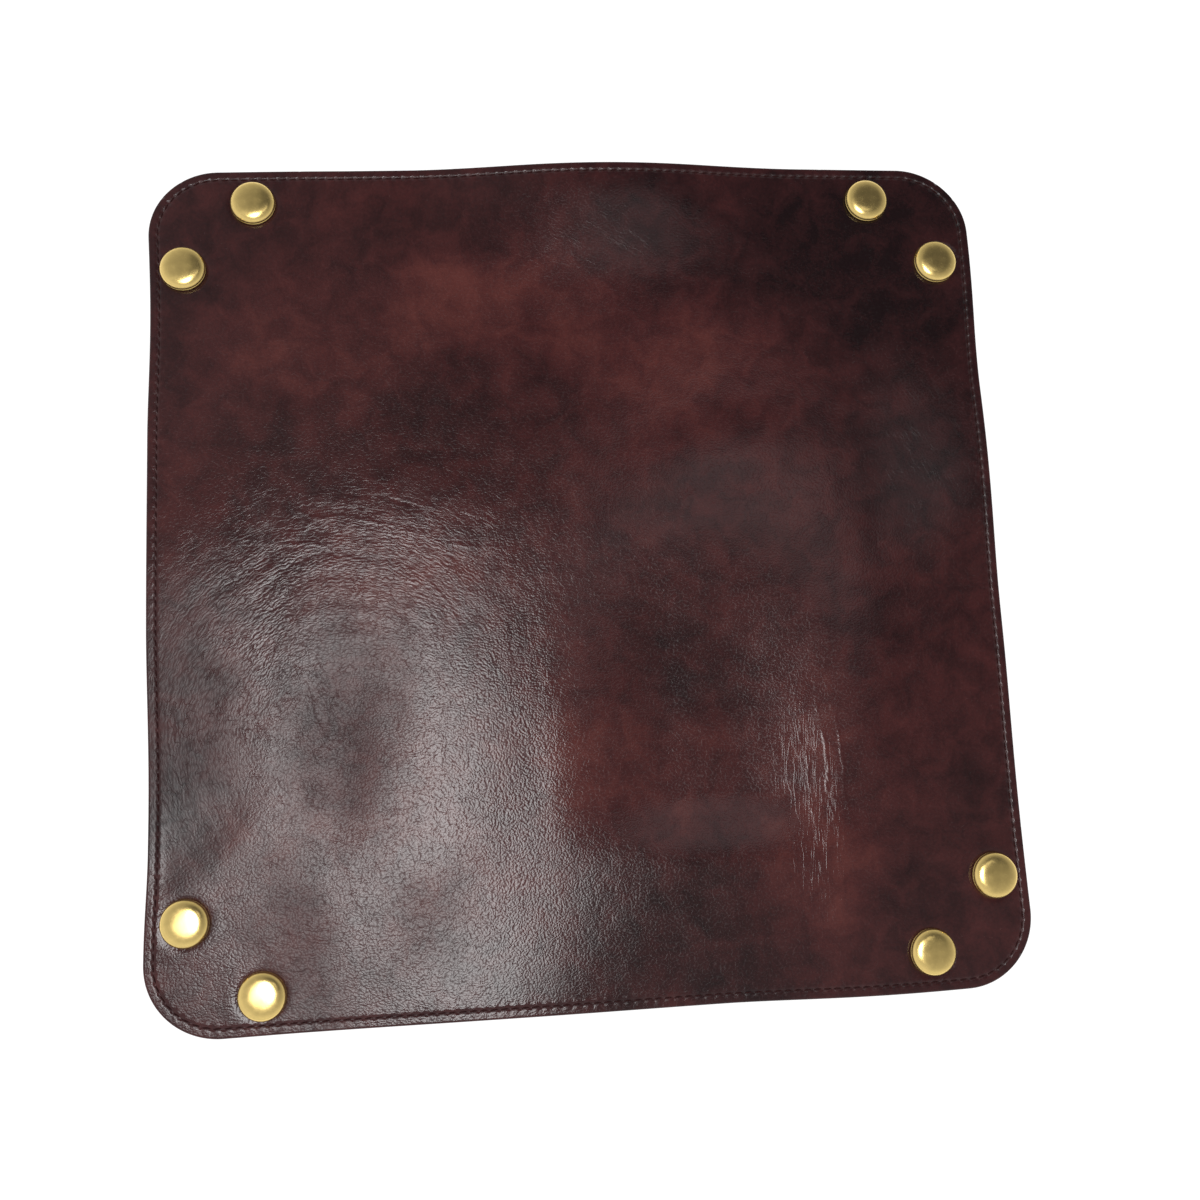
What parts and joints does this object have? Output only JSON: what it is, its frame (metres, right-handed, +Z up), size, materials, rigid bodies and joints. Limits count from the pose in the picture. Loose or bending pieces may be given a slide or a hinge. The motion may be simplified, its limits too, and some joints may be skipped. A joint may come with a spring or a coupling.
{
  "type": "dice tray",
  "caption": "Square leather dice tray lying flat, suede lined, with domed brass snap caps in pairs at its corners; snapping the corners folds up the walls.",
  "frame": {"origin": "on the table, under the middle of the sheet", "axes": "+Z up, from the lining to the leather; +X to the right and +Y away from the front edge"},
  "size_m": [0.28, 0.28, 0.0108],
  "materials": {
    "leather": "oxblood, mottled darker, waxed to a soft gloss",
    "lining": "short-napped suede cloth, matt",
    "cap_brass": "polished",
    "snap_brass": "satin",
    "spring": "bright wire"
  },
  "bodies": {
    "base": {"leather_base": "leather", "lining_base": "lining"},
    "wall_front": {"leather_wall_front": "leather", "lining_wall_front": "lining"},
    "wall_right": {"leather_wall_right": "leather", "lining_wall_right": "lining"},
    "wall_back": {"leather_wall_back": "leather", "lining_wall_back": "lining"},
    "wall_left": {"leather_wall_left": "leather", "lining_wall_left": "lining"},
    "ear_front_right": {"leather_ear_front_right": "leather", "lining_ear_front_right": "lining", "cap_front_right": "cap_brass", "socket_front_right": "snap_brass", "socket_spring_front_right": "spring"},
    "ear_front_left": {"leather_ear_front_left": "leather", "lining_ear_front_left": "lining", "cap_front_left": "cap_brass", "stud_front_left": "snap_brass"},
    "ear_right_back": {"leather_ear_right_back": "leather", "lining_ear_right_back": "lining", "cap_right_back": "cap_brass", "socket_right_back": "snap_brass", "socket_spring_right_back": "spring"},
    "ear_right_front": {"leather_ear_right_front": "leather", "lining_ear_right_front": "lining", "cap_right_front": "cap_brass", "stud_right_front": "snap_brass"},
    "ear_back_left": {"leather_ear_back_left": "leather", "lining_ear_back_left": "lining", "cap_back_left": "cap_brass", "socket_back_left": "snap_brass", "socket_spring_back_left": "spring"},
    "ear_back_right": {"leather_ear_back_right": "leather", "lining_ear_back_right": "lining", "cap_back_right": "cap_brass", "stud_back_right": "snap_brass"},
    "ear_left_front": {"leather_ear_left_front": "leather", "lining_ear_left_front": "lining", "cap_left_front": "cap_brass", "socket_left_front": "snap_brass", "socket_spring_left_front": "spring"},
    "ear_left_back": {"leather_ear_left_back": "leather", "lining_ear_left_back": "lining", "cap_left_back": "cap_brass", "stud_left_back": "snap_brass"},
    "crease_front_right": {"leather_crease_front_right": "leather", "lining_crease_front_right": "lining"},
    "crease_right_back": {"leather_crease_right_back": "leather", "lining_crease_right_back": "lining"},
    "crease_back_left": {"leather_crease_back_left": "leather", "lining_crease_back_left": "lining"},
    "crease_left_front": {"leather_crease_left_front": "leather", "lining_crease_left_front": "lining"}
  },
  "joints": [
    {"name": "fold_front", "type": "hinge", "parent": "base", "child": "wall_front", "pos_m": [0, -0.098, 0.0041], "axis": [1, 0, 0], "range_deg": [0, 90]},
    {"name": "fold_right", "type": "hinge", "parent": "base", "child": "wall_right", "pos_m": [0.098, 0, 0.0041], "axis": [0, 1, 0], "range_deg": [0, 90]},
    {"name": "fold_back", "type": "hinge", "parent": "base", "child": "wall_back", "pos_m": [0, 0.098, 0.0041], "axis": [-1, 0, 0], "range_deg": [0, 90]},
    {"name": "fold_left", "type": "hinge", "parent": "base", "child": "wall_left", "pos_m": [-0.098, 0, 0.0041], "axis": [0, -1, 0], "range_deg": [0, 90]},
    {"name": "swing_ear_front_right", "type": "hinge", "parent": "wall_front", "child": "ear_front_right", "pos_m": [0.09317, -0.119, 0.0068], "axis": [0, -1, 0], "range_deg": [0, 45]},
    {"name": "swing_ear_front_left", "type": "hinge", "parent": "wall_front", "child": "ear_front_left", "pos_m": [-0.09317, -0.119, 0.0068], "axis": [0, 1, 0], "range_deg": [0, 45]},
    {"name": "swing_ear_right_back", "type": "hinge", "parent": "wall_right", "child": "ear_right_back", "pos_m": [0.119, 0.09317, 0.0068], "axis": [1, 0, 0], "range_deg": [0, 45]},
    {"name": "swing_ear_right_front", "type": "hinge", "parent": "wall_right", "child": "ear_right_front", "pos_m": [0.119, -0.09317, 0.0068], "axis": [-1, 0, 0], "range_deg": [0, 45]},
    {"name": "swing_ear_back_left", "type": "hinge", "parent": "wall_back", "child": "ear_back_left", "pos_m": [-0.09317, 0.119, 0.0068], "axis": [0, 1, 0], "range_deg": [0, 45]},
    {"name": "swing_ear_back_right", "type": "hinge", "parent": "wall_back", "child": "ear_back_right", "pos_m": [0.09317, 0.119, 0.0068], "axis": [0, -1, 0], "range_deg": [0, 45]},
    {"name": "swing_ear_left_front", "type": "hinge", "parent": "wall_left", "child": "ear_left_front", "pos_m": [-0.119, -0.09317, 0.0068], "axis": [-1, 0, 0], "range_deg": [0, 45]},
    {"name": "swing_ear_left_back", "type": "hinge", "parent": "wall_left", "child": "ear_left_back", "pos_m": [-0.119, 0.09317, 0.0068], "axis": [1, 0, 0], "range_deg": [0, 45]},
    {"name": "bend_crease_front_right", "type": "hinge", "parent": "ear_front_right", "child": "crease_front_right", "pos_m": [0.11714, -0.12086, 0.0041], "axis": [-0.7071, 0.7071, 0], "range_deg": [0, 90]},
    {"name": "bend_crease_right_back", "type": "hinge", "parent": "ear_right_back", "child": "crease_right_back", "pos_m": [0.12086, 0.11714, 0.0041], "axis": [-0.7071, -0.7071, 0], "range_deg": [0, 90]},
    {"name": "bend_crease_back_left", "type": "hinge", "parent": "ear_back_left", "child": "crease_back_left", "pos_m": [-0.11714, 0.12086, 0.0041], "axis": [0.7071, -0.7071, 0], "range_deg": [0, 90]},
    {"name": "bend_crease_left_front", "type": "hinge", "parent": "ear_left_front", "child": "crease_left_front", "pos_m": [-0.12086, -0.11714, 0.0041], "axis": [0.7071, 0.7071, 0], "range_deg": [0, 90]}
  ],
  "couplings": [
    {"joint": "fold_right", "follows": "fold_front", "ratio": 1},
    {"joint": "fold_back", "follows": "fold_front", "ratio": 1},
    {"joint": "fold_left", "follows": "fold_front", "ratio": 1},
    {"joint": "swing_ear_front_right", "follows": "fold_front", "ratio": 0.5},
    {"joint": "swing_ear_front_left", "follows": "fold_front", "ratio": 0.5},
    {"joint": "swing_ear_right_back", "follows": "fold_front", "ratio": 0.5},
    {"joint": "swing_ear_right_front", "follows": "fold_front", "ratio": 0.5},
    {"joint": "swing_ear_back_left", "follows": "fold_front", "ratio": 0.5},
    {"joint": "swing_ear_back_right", "follows": "fold_front", "ratio": 0.5},
    {"joint": "swing_ear_left_front", "follows": "fold_front", "ratio": 0.5},
    {"joint": "swing_ear_left_back", "follows": "fold_front", "ratio": 0.5},
    {"joint": "bend_crease_front_right", "follows": "fold_front", "ratio": 1},
    {"joint": "bend_crease_right_back", "follows": "fold_front", "ratio": 1},
    {"joint": "bend_crease_back_left", "follows": "fold_front", "ratio": 1},
    {"joint": "bend_crease_left_front", "follows": "fold_front", "ratio": 1}
  ]
}
